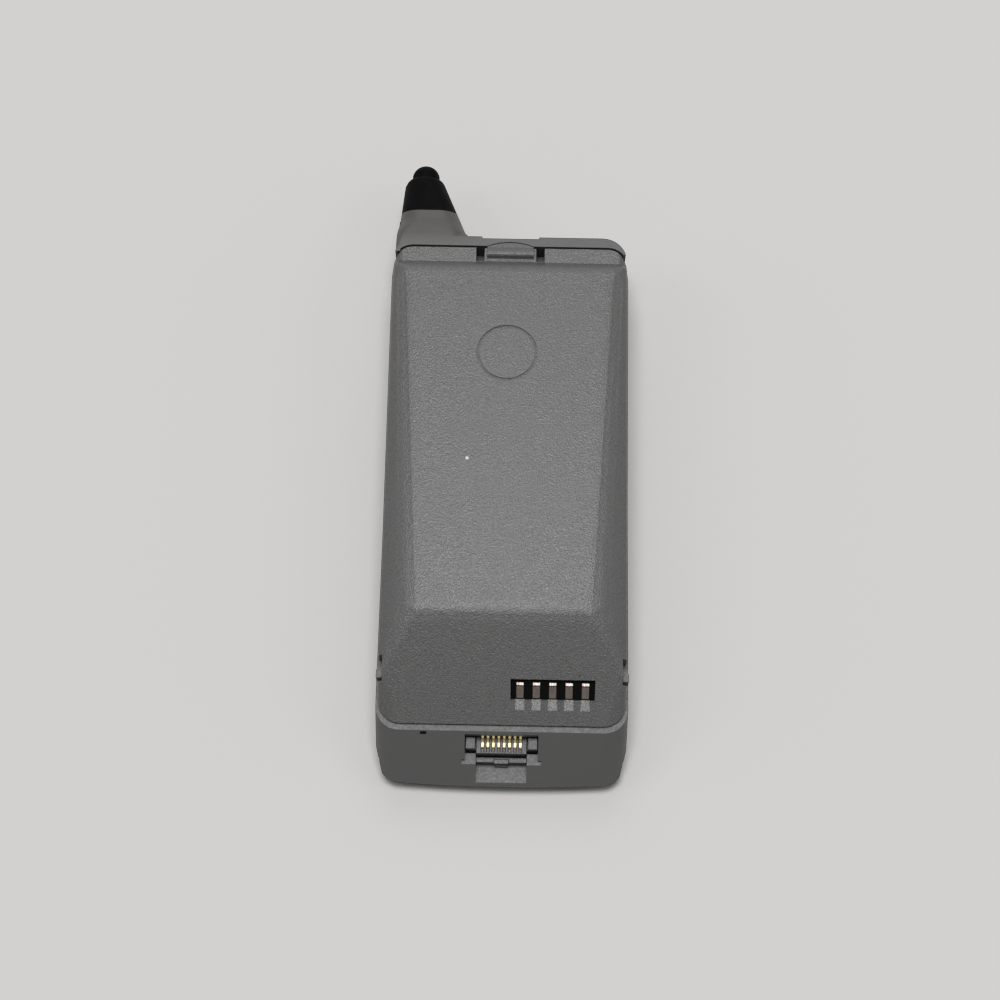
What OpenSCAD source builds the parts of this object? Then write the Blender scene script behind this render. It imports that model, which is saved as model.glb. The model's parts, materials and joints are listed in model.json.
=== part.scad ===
// Slim flip phone of the 1990s, lying face down with its flip closed.
// +X is the right side of the back, +Y points to the antenna and +Z is the back. All sizes are in millimetres.
// The origin is the middle of the whole outline in plan, on the plane that the phone rests on.

/* [Handset] */
// Width across the sides
body_w = 59; // [58:0.5:62]
// Length from the chin to the top edge, without the antenna
body_len = 136; // [134:1:142]
// Corner radius of the handset in plan
corner_r = 6; // [5:0.5:7]
// Wall thickness of the housings
wall = 1.6; // [1.3:0.1:1.8]
// Height of the seam between the two housings
seam_h = 7.5; // [7.2:0.1:7.9]
// Height of the bed that the battery pack lies on
bed_h = 14; // [13.8:0.1:14.6]
// Thickness of the bed
bed_t = 1.4; // [1.2:0.1:1.5]
// Height of the band along the top edge
band_h = 20; // [19.5:0.1:20.5]
// Depth of the band along the top edge
band_t = 2.5; // [2.3:0.1:2.9]
// How far the band stands back from the sides
band_in = 0.4; // [0.3:0.05:0.5]
// Height of the key deck's outer face
deck_h = 5.3; // [5:0.1:5.5]
// Clearance between pieces that are pushed together
fit = 0.1; // [0.05:0.01:0.15]

/* [Chin] */
// Length of the bevelled chin in plan
chin_len = 11.1; // [10.9:0.1:11.6]
// Depth of the chin block behind its end
chin_depth = 18.5; // [18:0.5:20]
// Corner radius of the ledge round the pack
ledge_r = 5.5; // [5:0.5:6]
// Width of the ledge below the pack
ledge_w = 1.4; // [1.2:0.1:1.6]
// Height at which the bevel ends in the nose
nose_h = 4; // [3.6:0.1:4.5]
// Height of the underside of the nose
nose_low = 2; // [1.8:0.1:2.3]
// Rounding under the nose
nose_round = 1.2; // [0.8:0.1:1.5]
// How far the nose bows out at the middle
nose_bow = 0.7; // [0.3:0.1:1]
// Width of the microphone block between the flip's arms
block_w = 26.4; // [25:0.2:28]
// Step at each end of the block
block_step = 0.3; // [0.2:0.05:0.4]
// How far the block stands back from the nose
block_in = 1.8; // [1.5:0.1:2.2]
// Width of the small slot in the bevel
vent_w = 1.5; // [1:0.1:2]
// Length of the small slot down the bevel
vent_l = 0.6; // [0.4:0.1:0.8]
// Place of the small slot across the bevel
vent_x = -18.2; // [-20:0.1:-16]

/* [Flip and hinge] */
// Distance of the hinge axis from the chin's end
hinge_in = 8.1; // [8:0.1:8.4]
// Height of the hinge axis
hinge_h = 3.4; // [3.3:0.1:3.6]
// Radius of the flip's barrels
barrel_r = 2.9; // [2.7:0.1:2.9]
// Radius of the hinge pins
pin_r = 1; // [0.8:0.1:1.1]
// Length of each hinge pin
pin_len = 14; // [12:0.5:16]
// Wall of the hinge bushings
bush_t = 0.6; // [0.4:0.1:0.8]
// Running clearance of a pin in its bushing
pin_clear = 0.05; // [0.03:0.01:0.08]
// Angle through which the flip opens
flip_open = 145; // [130:1:150]
// How far the flip stands back from each side of the handset
flip_side = 0.2; // [0.1:0.05:0.8]
// Height of the flip's outer face above the rest plane
flip_lift = 0.3; // [0.2:0.05:0.4]
// Thickness of the flip
flip_t = 3.7; // [3.4:0.1:3.8]
// Thickness of the liner inside the flip
liner_t = 1.2; // [0.9:0.1:1.4]
// Rim of the cover round the liner
flip_rim = 2.4; // [2:0.1:3]
// Chamfer round the flip's outer face
flip_edge = 1.2; // [0.8:0.1:1.4]
// Gap between the open flip and the nose
open_gap = 0.45; // [0.35:0.05:0.5]
// Gap between the flip and the handset
flip_gap = 0.4; // [0.3:0.05:0.5]
// Number of sound slots in the flip
sound_n = 3; // [1:2:3]
// Width of a sound slot
sound_w = 1; // [0.6:0.1:1.2]
// Length of a sound slot
sound_l = 10; // [6:1:16]

/* [Keys] */
// Width of a key
key_w = 11.6; // [10.5:0.1:12]
// Gap between neighbouring keys in a column
key_gap = 3.4; // [3:0.1:4]
// Corner radius of a key
key_r = 1.8; // [1.2:0.1:2.2]
// Spacing of the key columns
key_dx = 14.5; // [14:0.1:15]
// Distance of the top row from the step of the brow
key_top = 11.5; // [11:0.1:12.5]
// Distance from the chin's end to the lowest row
key_y0 = 25.5; // [25:0.1:26.5]
// How far a key stands out of the deck
key_proud = 0.8; // [0.5:0.1:0.9]
// Flange round the foot of a key
key_flange = 0.6; // [0.5:0.1:0.8]
// Thickness of the flange
flange_t = 0.8; // [0.6:0.1:0.9]
// Clearance round a key in the deck
key_clear = 0.3; // [0.25:0.05:0.35]
// Travel of a key
key_travel = 0.7; // [0.5:0.05:0.7]

/* [Brow] */
// Distance of the step of the brow from the top edge
brow_in = 51; // [49:0.5:51]
// Width of the display window
window_w = 36; // [34:0.5:38]
// Length of the display window
window_l = 15; // [14:0.5:16]
// Distance of the window's middle from the top edge
window_in = 33.5; // [32:0.5:34.5]
// Thickness of the display window
window_t = 1.2; // [1:0.1:1.2]
// Diameter of the earpiece capsule
ear_d = 16; // [14:0.5:16.5]
// Distance of the earpiece from the top edge
ear_in = 12; // [11.5:0.5:13]
// Number of earpiece slots
ear_slots = 5; // [3:2:5]
// Width of an earpiece slot
ear_slot_w = 1.1; // [0.8:0.1:1.3]

/* [Antenna] */
// Distance of the antenna's axis from the side
ant_in = 7.2; // [7.1:0.1:7.5]
// Height of the antenna's axis
ant_h = 11; // [10.9:0.05:11.1]
// Length of the foot and boot above the top edge
ant_len = 19.6; // [19:0.1:21]
// Where the boot starts above the top edge
boot_at = 9.8; // [8.5:0.1:11]
// Rake of the joint between foot and boot
boot_rake = 12; // [8:1:15]
// Radius of the boot at its shoulder
boot_r = 5.4; // [5.2:0.1:5.8]
// Width of the antenna's foot on the top edge
foot_w = 18.2; // [17:0.2:19]
// How far the foot stands back from the side
foot_in = 0.8; // [0.6:0.1:1.2]
// Flare of the foot at its root
flare_w = 1.6; // [1:0.1:2]
// Length of the flare
flare_len = 3.6; // [3:0.1:4.5]
// Diameter of the whip's tip
tip_d = 6.8; // [6:0.1:7.5]
// Length of the whip's tip
tip_len = 4.4; // [4:0.1:5]
// Radius of the whip
whip_r = 0.7; // [0.6:0.05:0.75]
// Length of the whip below its tip
whip_len = 97; // [95:1:99]
// Radius of the stop at the whip's end
stop_r = 1.1; // [1:0.02:1.12]
// Wall of the guide tube
guide_t = 0.2; // [0.15:0.05:0.25]
// Running clearance of the whip
whip_clear = 0.08; // [0.05:0.01:0.1]

/* [Battery pack] */
// Gap between the pack and the handset
pack_gap = 0.4; // [0.3:0.05:0.5]
// How far the pack stands back from the handset's sides
pack_in = 0.5; // [0.4:0.1:0.7]
// Height of the pack's underside above the bed
pack_lift = 0.3; // [0.2:0.05:0.35]
// Wall thickness of the pack
pack_wall = 1.6; // [1.3:0.1:1.7]
// Height of the pack's lower edge above the bed
edge_h = 0.85; // [0.8:0.05:1]
// Height of the side rims above the bed at the hump's lower end
rim_s = 5.3; // [5:0.1:5.6]
// Height of the side rims above the bed at the hump's top end
rim_n = 7.6; // [7.3:0.1:7.9]
// Edge radius of the side rims
rim_r = 1.2; // [0.8:0.1:1.4]
// Height of the hump's top end above the bed
hump_n = 9.4; // [9.2:0.1:9.8]
// Height of the hump's lower end above the bed
hump_s = 11.3; // [11:0.1:11.8]
// Distance of the hump's top end from the handset's top edge
hump_in = 9.7; // [9.4:0.1:10.2]
// Distance of the hump's lower end from the pack's lower edge
slope_len = 24.5; // [24:0.1:25.5]
// Angle at which the hump falls to the latch strip
drop_a = 52; // [48:1:55]
// Edge radius of the hump at its top end
hump_r_n = 4; // [3.5:0.5:4.5]
// Edge radius of the hump at its lower end
hump_r_s = 8; // [6:0.5:9]
// Height of the latch strip above the bed
strip_h = 5.7; // [5.5:0.1:5.9]
// Edge radius of the latch strip
strip_r = 2; // [1.5:0.1:2.5]
// Corner radius of the pack's lower end
pack_r = 5.4; // [4.8:0.1:5.6]
// Corner radius of the pack's top end
top_r = 4.5; // [3.5:0.5:5]
// Diameter of the blank round badge
badge_d = 14.9; // [12:0.1:16]
// Width of the badge's ring
badge_ring = 0.7; // [0.4:0.1:1]
// Depth of the badge's ring
badge_deep = 0.3; // [0.2:0.05:0.4]
// Distance of the badge from the top edge
badge_in = 33.3; // [30:0.1:36]
// Place of the badge across the pack
badge_x = -0.4; // [-1:0.1:1]
// Slide that frees the pack from its lugs
pack_slide = 2.5; // [2:0.5:3]
// Length of a lug
lug_len = 1.8; // [1.4:0.1:2.2]
// Distance of the lugs from the pack's lower edge
lug_in = 10.3; // [10:0.1:10.8]
// Thickness of the tray that closes the pack
tray_t = 1.2; // [1:0.1:1.3]
// Room between the ends of the cells and the pack's sides
cell_in = 7; // [6.5:0.5:9]
// Width of a cell
cell_w = 16.4; // [15:0.1:16.6]
// Thickness of a cell
cell_t = 5; // [4.6:0.1:5.2]
// Spacing of the cells
cell_pitch = 17; // [16.8:0.1:17.2]

/* [Charge contacts] */
// Number of contacts
contact_n = 5; // [4:1:5]
// Spacing of the contacts
contact_pitch = 3.81; // [3.6:0.01:3.9]
// Width of a contact
contact_w = 1.7; // [1.4:0.1:2]
// Place of the row's middle across the pack
contact_x = 11.8; // [11:0.1:12.5]
// Length of the contact window along the slope
contact_l = 4.85; // [4.6:0.05:5.1]
// Width of the contact window
contact_win = 19.7; // [19.4:0.1:20.5]
// Depth of the window
contact_deep = 1.1; // [0.9:0.1:1.2]
// Distance of the window's middle from the pack's lower edge
contact_in = 7.7; // [7.5:0.1:7.9]
// Width of the guide ramp below a contact
ramp_w = 2.2; // [2:0.1:2.4]
// Length of a guide ramp
ramp_l = 2.2; // [1.8:0.1:2.3]

/* [Latch] */
// Width of the latch
latch_w = 13; // [12:0.2:14]
// Width of each slot beside the latch
latch_slot = 2.1; // [1.8:0.1:2.4]
// Length of the latch along the pack
latch_l = 3.7; // [3.4:0.1:4]
// How far the nose reaches past the pack
latch_nose = 1.4; // [1.2:0.1:1.6]
// Width of the grip ridge
grip_w = 11.7; // [11:0.1:12.2]
// Height of the grip ridge above the strip
grip_h = 1; // [0.8:0.1:1.2]
// Gap round the latch
latch_gap = 0.15; // [0.1:0.05:0.3]
// Travel of the latch
latch_travel = 1.2; // [0.8:0.1:1.2]

/* [Accessory connector] */
// Number of contacts
conn_n = 8; // [6:1:8]
// Spacing of the contacts
conn_pitch = 1.27; // [1.2:0.01:1.3]
// Place of the connector across the chin
conn_x = 0.1; // [-0.2:0.1:0.2]
// Width of a contact
conn_pin_w = 0.6; // [0.5:0.05:0.7]
// Width of the connector's well
conn_w = 17.2; // [16.8:0.1:17.5]
// Width of the channel below the contacts
conn_mid = 12; // [11.7:0.1:12.2]
// Distance of the well's upper edge from the chin's end
conn_in = 10.5; // [10.3:0.1:10.7]
// Height of the channel's floor
conn_floor = 4.7; // [4.5:0.1:4.9]
// Height of the side steps
conn_step = 8; // [7.8:0.1:8.2]

/* [Inside] */
// Height of the logic board's front face
board_h = 9.6; // [9.5:0.05:9.7]
// Thickness of the logic board
board_t = 0.8; // [0.6:0.1:0.9]
// Height of a key dome
dome_t = 0.4; // [0.3:0.05:0.45]
// Radius of a screw's shank
screw_r = 0.95; // [0.8:0.05:1]
// Radius of a screw's head
head_r = 1.8; // [1.6:0.1:1.9]
// Width of a volume key
side_w = 9; // [8:0.5:10]
// Height of a volume key
side_h = 2.8; // [2.4:0.1:3]
// Travel of a volume key
side_travel = 0.5; // [0.3:0.05:0.5]
// Distance of the volume keys from the top edge
side_in = 46; // [44:1:50]
// Spacing of the volume keys
side_pitch = 12; // [11.5:0.5:13]
// Distance of the battery terminals from the top edge
term_in = 24; // [22:1:27]
// Spacing of the battery terminals
term_pitch = 6; // [5.5:0.5:7]

/* [Hidden] */
$fn = 48;
ARC = 8;
HULL_FN = 32;
EPS = 0.02;
SLICE = 0.1;
FAR = 200;

half_w = body_w / 2;
mid_y = -(ant_len + fit + tip_len) / 2;
y_top = mid_y + body_len / 2;
y_end = mid_y - body_len / 2;
y_ledge = y_end + chin_len;
y_chin = y_end + chin_depth;
bed_in = bed_h - bed_t;
deck_in = deck_h + wall;
hinge_y = y_end + hinge_in;
block_r = hinge_in - EPS;
room_r = barrel_r + flip_gap;
brow_y = y_top - brow_in;
flip_w = body_w - 2 * flip_side;
flip_y1 = brow_y - flip_gap;
flip_in = flip_lift + flip_t;
liner_h = flip_in - liner_t;
inner_hw = half_w - wall;
sound_y = hinge_y + hinge_in + 6;
sound_pitch = 2.4;

key_dy = (brow_y - key_top - y_end - key_y0) / 5;
key_l = key_dy - key_gap;
key_corner = min(key_r, key_l / 2 - fit);
key_row_y = [for (i = [0:5]) y_end + key_y0 + key_dy * i];
key_col_x = [key_dx, 0, -key_dx];
key_foot = deck_in + flange_t;
key_end = board_h - dome_t - key_travel - fit;
key_edge = 0.5;

window_y = y_top - window_in;
ear_y = y_top - ear_in;

ant_x = -half_w + ant_in;
boot_y = y_top + boot_at;
boot_end = y_top + ant_len;
boot_round = 3.4;
boot_drop = 1.5;
foot_x0 = -half_w + foot_in;
foot_root = 5.5;
foot_z0 = 4;
foot_z1 = band_h - 0.4;
foot_r = 5;
foot_flat = 0.4;
bush_r = stop_r + whip_clear;
guide_y0 = boot_end - whip_len - 2;
guide_y1 = y_top - band_t;
stop_len = 3;

pack_z0 = bed_h + pack_lift;
pack_hw = half_w - pack_in;
pack_y0 = y_ledge + ledge_w;
pack_y1 = y_top - band_t - pack_gap;
edge_z = bed_h + edge_h;
hump_y0 = pack_y0 + slope_len;
hump_y1 = y_top - hump_in;
hump_z0 = bed_h + hump_s;
hump_z1 = bed_h + hump_n;
strip_z = bed_h + strip_h;
badge_y = y_top - badge_in;
slope_a = atan((hump_z0 - edge_z) / slope_len);
tilt_a = atan((hump_z0 - hump_z1) / (hump_y1 - hump_y0));
k_top = hump_y0 * sin(tilt_a) + hump_z0 * cos(tilt_a);
k_slope = -pack_y0 * sin(slope_a) + edge_z * cos(slope_a);
k_drop = hump_y1 * sin(drop_a) + hump_z1 * cos(drop_a);
rim_k = (rim_n - rim_s) / (hump_y1 - hump_y0);
rim_c = bed_h + rim_s - rim_k * hump_y0;
drop_y = hump_y1 + (hump_z1 - strip_z) / tan(drop_a);
strip_y = drop_y - 1.5;
strip_hw = pack_hw - fit;
tray_z1 = pack_z0 + tray_t;
tray_y1 = pack_y1 - latch_l - 2;
lug_y = pack_y0 + lug_in;
lug_t = 0.8;
lug_h = 2.8;
lug_gap = 1.2;
lug_clear = 0.2;
horn_y = pack_y1 - 1.5;
cell_y1 = hump_y1 - 2 * pack_wall - cell_w / 2;
cell_n = floor((hump_y1 - hump_y0 - 2 * pack_wall + cell_pitch - cell_w) / cell_pitch);
cell_l = 2 * (pack_hw - cell_in);

latch_y0 = pack_y1 - latch_l;
latch_z0 = strip_z - 3.2;
latch_arc = (pow(grip_w / 2 + 0.4, 2) + pow(latch_nose, 2)) / (2 * latch_nose);
latch_arc_y = pack_y1 + latch_nose - latch_arc;

contact_x0 = contact_x - contact_pitch * (contact_n - 1) / 2;
contact_y = pack_y0 + contact_in;

conn_y = y_end + conn_in;
conn_pin_x0 = conn_x - conn_pitch * (conn_n - 1) / 2;
conn_bed = conn_floor + 0.5;
conn_deck = conn_floor + 4.1;
comb_y = y_end + 6.7;
comb_z = conn_deck + 1;
comb_slot = comb_z - 0.5;
bar_y0 = y_end + 5.1;
bar_y1 = y_end + 6.35;
bar_z = conn_floor + 2.4;
pad_y = y_end + 7.6;
board_top = board_h + board_t;
shield_y0 = y_end + 46;
shield_y1 = y_top - 40;
chin_hw = block_w / 2 - wall;
mic_y1 = y_chin - 2 * wall;
mic_y = (conn_y + mic_y1) / 2;
mic_r = (mic_y1 - conn_y) / 2 - fit;
mic_t = 3;
mic_lift = 0.5;
mic_hole = 0.6;
board_x0 = ant_x + bush_r + guide_t + 0.7;
board_x1 = half_w - 6;
board_y0 = conn_y + 2;
board_y1 = y_top - 6;
shield_x0 = board_x0 + 3.2;
shield_x1 = board_x1 - 5;
screw_x = inner_hw - 2;
screw_y = [y_end + 31, y_end + 62, y_top - 10];
boss_r = 1.9;
boss_top = bed_in - fit;
term_y = y_top - term_in;
term_x = [-term_pitch, 0, term_pitch];
side_y = [y_top - side_in + side_pitch / 2, y_top - side_in - side_pitch / 2];
side_z = (seam_h + bed_in) / 2 + 0.6;

DIGITS = ["1", "2", "3", "4", "5", "6", "7", "8", "9", "star", "0", "hash"];
EXTRAS = ["recall", "clear", "store", "power", "end", "send"];
KEYS = concat([for (d = DIGITS) str("key_", d)], [for (e = EXTRAS) str("key_", e)]);

// Points of a quarter arc round a corner's centre, or the corner itself where r is 0
function arc_pts(cx, cy, r, a0) = r == 0 ? [[cx, cy]] :
    [for (i = [0:ARC]) [cx + r * cos(a0 + 90 * i / ARC), cy + r * sin(a0 + 90 * i / ARC)]];

// Rectangle with corner radius r0 at its low side and r1 at its high side
function round_rect(x0, y0, x1, y1, r0, r1) = concat(
    arc_pts(x1 - r1, y1 - r1, r1, 0), arc_pts(x0 + r1, y1 - r1, r1, 90),
    arc_pts(x0 + r0, y0 + r0, r0, 180), arc_pts(x1 - r0, y0 + r0, r0, 270));

// The chin's plan: a rounded end whose edge bows out at the middle
function chin_plan(inset) = concat(
    [[half_w - inset, y_chin], [-half_w + inset, y_chin]],
    arc_pts(-half_w + corner_r, y_end + nose_bow + corner_r, corner_r - inset, 180),
    [for (i = [-3:3]) [i / 4 * (half_w - corner_r), y_end + inset + nose_bow * pow(i / 4, 2)]],
    arc_pts(half_w - corner_r, y_end + nose_bow + corner_r, corner_r - inset, 270));

// Place [y, z] of an edge of radius r between two planes across the handset, each at angle a and distance k
function edge_at(k1, a1, k2, a2, r) = [
    ((k1 - r) * cos(a2) - (k2 - r) * cos(a1)) / sin(a1 - a2),
    ((k2 - r) * sin(a1) - (k1 - r) * sin(a2)) / sin(a1 - a2)];

// Height of the pack's slope at y
function slope_z(y) = edge_z + (y - pack_y0) * tan(slope_a);

// Height of the side rims at y
function rim_z(y) = rim_c + rim_k * y;

// Height of the hump's top at y
function top_z(y) = hump_z0 - (y - hump_y0) * tan(tilt_a);

// A key's plan, grown by more on each side, with corner radius r
function key_plan(more, r) = round_rect(-key_w / 2 - more, -key_l / 2 - more, key_w / 2 + more,
    key_l / 2 + more, r, r);

module slab(pts, z0, z1) { translate([0, 0, z0]) linear_extrude(z1 - z0) polygon(pts); }

// A profile in the X-Z plane, drawn from y0 to y1
module along_y(pts, y0, y1) { translate([0, y1, 0]) rotate([90, 0, 0]) linear_extrude(y1 - y0) polygon(pts); }

// A profile in the Y-Z plane, drawn from x0 to x1
module along_x(pts, x0, x1) {
    translate([x0, 0, 0]) rotate([90, 0, 90]) linear_extrude(x1 - x0) polygon(pts);
}

module box(x0, y0, z0, x1, y1, z1) { translate([x0, y0, z0]) cube([x1 - x0, y1 - y0, z1 - z0]); }

module rod_x(x0, x1, y, z, r) { translate([x0, y, z]) rotate([0, 90, 0]) cylinder(r = r, h = x1 - x0); }

module rod_y(y0, y1, x, z, r) { translate([x, y0, z]) rotate([-90, 0, 0]) cylinder(r = r, h = y1 - y0); }

module rod_z(x, y, z0, z1, r) { translate([x, y, z0]) cylinder(r = r, h = z1 - z0); }

module both_sides() { for (s = [0, 1]) mirror([s, 0, 0]) children(); }

// Whole bevelled chin, from the nose up to the ledge
module chin_solid() {
    hull() {
        slab(chin_plan(nose_round), nose_low, nose_low + SLICE);
        slab(chin_plan(0), nose_low + nose_round, nose_h);
        slab(round_rect(-half_w, y_ledge, half_w, y_chin, ledge_r, 0), bed_h - SLICE, bed_h);
    }
}

// Room under the chin for one arm of the flip, closed and open, drawn in the Y-Z plane
module arm_room() {
    translate([block_w / 2, 0, 0]) rotate([90, 0, 90]) linear_extrude(FAR) union() {
        translate([hinge_y, -1]) square([y_chin + 1 - hinge_y, deck_h + 1]);
        translate([hinge_y, hinge_h]) circle(r = room_r);
        translate([hinge_y, hinge_h]) rotate(180 - flip_open) translate([-FAR, -FAR])
            square([FAR, FAR + hinge_h - flip_lift + open_gap]);
    }
}

// The antenna's foot and boot as one tapering form
module antenna_form() {
    hull() {
        along_y(round_rect(foot_x0, foot_z0, foot_x0 + foot_w, foot_z1, foot_r, foot_r),
            y_top - foot_root, y_top + foot_flat);
        for (a = [0:30:90]) {
            y = boot_end - boot_round * (1 - sin(a));
            rod_y(y - EPS, y, ant_x, ant_h, boot_r - boot_drop * (1 - cos(a)), $fn = HULL_FN);
        }
    }
}

// Flare at the root of the foot, which eases it into the top edge
module antenna_flare() {
    root_x = foot_x0 + foot_w;
    end_x = root_x - (root_x - ant_x - boot_r) * flare_len / (ant_len - boot_round);
    hull() {
        along_y(round_rect(ant_x, foot_z0, root_x + flare_w, foot_z1, foot_r, foot_r),
            y_top - 1, y_top + foot_flat);
        along_y(round_rect(ant_x, foot_z0 + 1, end_x, foot_z1 - 1, foot_r, foot_r), y_top + flare_len - SLICE,
            y_top + flare_len);
    }
}

// The half of space beyond the raked joint between foot and boot
module past_joint(gap) {
    translate([0, boot_y + gap, ant_h]) rotate([boot_rake, 0, 0]) box(-FAR, 0, -FAR, FAR, FAR, FAR);
}

// Well for the connector, the channel in front of it and the steps beside the channel
module connector_well() {
    well_y = y_end + 7.1;
    wide_hw = conn_w / 2 + 0.7;
    wide_y = y_end + 5.4;
    translate([conn_x, 0, 0]) {
        box(-conn_w / 2, well_y, conn_bed, conn_w / 2, conn_y, FAR);
        box(-conn_mid / 2, y_end - 1, conn_floor, conn_mid / 2, conn_y, FAR);
        box(-conn_w / 2, y_end, conn_step, conn_w / 2, well_y + 1, FAR);
        box(-wide_hw, y_end, conn_step, wide_hw, wide_y, FAR);
    }
}

// Room for the pack between the bed and the band
module pack_room() {
    hw = pack_hw + pack_gap;
    slab(round_rect(-hw, y_chin, hw, pack_y1 + pack_gap, 0, top_r + pack_gap), bed_h - SLICE, FAR);
}

module rear_housing() {
    latch_hw = latch_w / 2 + 0.7;
    color("dimgray") difference() {
        union() {
            slab(round_rect(-half_w, y_chin - 2, half_w, y_top, 0, corner_r), seam_h, bed_h);
            chin_solid();
            intersection() {
                rod_x(-block_w / 2 + block_step, block_w / 2 - block_step, hinge_y, hinge_h, block_r);
                box(-FAR, y_end + block_in, 0, FAR, y_chin, nose_h);
            }
            // Band along the top edge and the antenna's foot, both cut to the pack's corners
            difference() {
                union() {
                    intersection() {
                        slab(round_rect(-half_w + band_in, y_chin, half_w - band_in, y_top, 0, corner_r),
                            seam_h, band_h);
                        box(-FAR, horn_y, 0, FAR, FAR, FAR);
                    }
                    antenna_form();
                    antenna_flare();
                }
                pack_room();
                past_joint(0);
                box(-FAR, 0, -FAR, FAR, y_top + EPS, seam_h);
            }
            both_sides() box(pack_hw - lug_t, lug_y, seam_h, half_w, lug_y + lug_len, bed_h + lug_h);
        }
        // Inside of the shell and of the chin
        slab(round_rect(-inner_hw, y_chin, inner_hw, y_top - wall, 0, corner_r - wall), 0, bed_in);
        box(-chin_hw, conn_y, deck_in, chin_hw, y_chin + 1, board_top + 1.2);
        box(-chin_hw, conn_y, wall, chin_hw, mic_y1, deck_in + 1);
        // Room for the flip and its arms
        both_sides() arm_room();
        difference() {
            box(-block_w / 2 - EPS, hinge_y, -1, block_w / 2 + EPS, y_chin + 1, deck_h);
            rod_x(-FAR, FAR, hinge_y, hinge_h, block_r);
        }
        both_sides() rod_x(block_w / 2 - pin_len / 2, FAR, hinge_y, hinge_h, pin_r + EPS);
        connector_well();
        box(vent_x - vent_w / 2, y_ledge - 0.2 - vent_l, bed_h - 3, vent_x + vent_w / 2, y_ledge - 0.2, FAR);
        // Microphone sound hole
        rod_z(0, mic_y, -1, wall + 1, mic_hole);
        // Latch notch that follows the latch's arc, and the shallow recess in the top edge
        intersection() {
            rod_z(0, latch_arc_y, latch_z0 - latch_travel - pack_gap, FAR, latch_arc + latch_gap);
            box(-latch_hw, y_top - band_t - 1, 0, latch_hw, FAR, FAR);
        }
        box(-latch_hw, y_top - 0.5, seam_h + 4, latch_hw, FAR, FAR);
        // Antenna bore, terminal slots, screw holes and volume key windows
        rod_y(y_top - band_t - 1, FAR, ant_x, ant_h, bush_r + guide_t + EPS);
        for (x = term_x) box(x - 1.2, term_y - 1.6, bed_in - 1, x + 1.2, term_y + 1.6, FAR);
        both_sides() for (y = screw_y) {
            rod_z(screw_x, y, seam_h, FAR, screw_r + 0.15);
            rod_z(screw_x, y, bed_h - 0.9, FAR, head_r + 0.15);
        }
        for (y = side_y) box(inner_hw - 1, y - side_w / 2 - fit, side_z - side_h / 2 - fit,
            FAR, y + side_w / 2 + fit, side_z + side_h / 2 + fit);
    }
}

module front_housing() {
    color("dimgray") difference() {
        union() {
            slab(round_rect(-half_w, brow_y, half_w, y_top, 0, corner_r), 0, seam_h);
            box(-half_w, y_chin, deck_h, half_w, brow_y + 1, seam_h);
            both_sides() for (y = screw_y) rod_z(screw_x, y, deck_h + 1, boss_top, boss_r);
        }
        difference() {
            union() {
                slab(round_rect(-inner_hw, brow_y + wall, inner_hw, y_top - wall, 0, corner_r - wall),
                    wall, FAR);
                box(-inner_hw, y_chin - 1, deck_in, inner_hw, brow_y + wall + 1, FAR);
            }
            both_sides() for (y = screw_y) rod_z(screw_x, y, 0, boss_top, boss_r);
            difference() {
                rod_z(0, ear_y, 0, 2 * wall + 1, ear_d / 2 + 1.2);
                rod_z(0, ear_y, wall, FAR, ear_d / 2 + fit);
            }
        }
        both_sides() for (y = screw_y) rod_z(screw_x, y, seam_h - 1, FAR, screw_r + EPS);
        // Key openings, display window and earpiece slots
        for (x = key_col_x, y = key_row_y) translate([x, y, 0])
            slab(key_plan(key_clear, key_corner + key_clear), 0, deck_in + 1);
        slab(round_rect(-window_w / 2 - fit, window_y - window_l / 2 - fit, window_w / 2 + fit,
            window_y + window_l / 2 + fit, 1.5, 1.5), wall - window_t, wall + 1);
        slab(round_rect(-window_w / 2 + 1, window_y - window_l / 2 + 1, window_w / 2 - 1,
            window_y + window_l / 2 - 1, 1, 1), -1, wall + 1);
        for (i = [0:ear_slots - 1]) {
            y = ear_y + (i - (ear_slots - 1) / 2) * 2.2;
            box(-4.5, y - ear_slot_w / 2, -1, 4.5, y + ear_slot_w / 2, wall + 1);
        }
    }
}

module antenna_boot() {
    color("black") difference() {
        intersection() {
            antenna_form();
            past_joint(EPS);
        }
        rod_y(y_top, FAR, ant_x, ant_h, bush_r + guide_t + EPS);
    }
}

module antenna_bushing() {
    color("goldenrod") difference() {
        rod_y(guide_y1, boot_end - 0.2, ant_x, ant_h, bush_r + guide_t);
        rod_y(0, FAR, ant_x, ant_h, whip_r + whip_clear);
    }
}

module antenna_guide() {
    color("white") difference() {
        rod_y(guide_y0, guide_y1, ant_x, ant_h, bush_r + guide_t);
        rod_y(-FAR, FAR, ant_x, ant_h, bush_r);
    }
}

module antenna_whip() { color("silver") rod_y(boot_end - whip_len, boot_end + 1, ant_x, ant_h, whip_r); }

module whip_stop() {
    color("silver") difference() {
        rod_y(boot_end - whip_len, boot_end - whip_len + stop_len, ant_x, ant_h, stop_r);
        rod_y(-FAR, FAR, ant_x, ant_h, whip_r);
    }
}

// Domed cap whose crown is a sphere that reaches down to the rim
module antenna_tip() {
    crown = tip_len * 0.6;
    rim = tip_len - crown;
    crown_r = (pow(tip_d / 2, 2) + pow(crown, 2)) / (2 * crown);
    color("black") translate([ant_x, boot_end + fit, ant_h]) rotate([-90, 0, 0]) difference() {
        union() {
            cylinder(r = tip_d / 2, h = rim);
            intersection() {
                translate([0, 0, tip_len - crown_r]) sphere(r = crown_r);
                translate([0, 0, rim]) cylinder(r = tip_d, h = tip_len);
            }
        }
        translate([0, 0, -1]) cylinder(r = whip_r, h = 2 - fit);
    }
}

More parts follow.
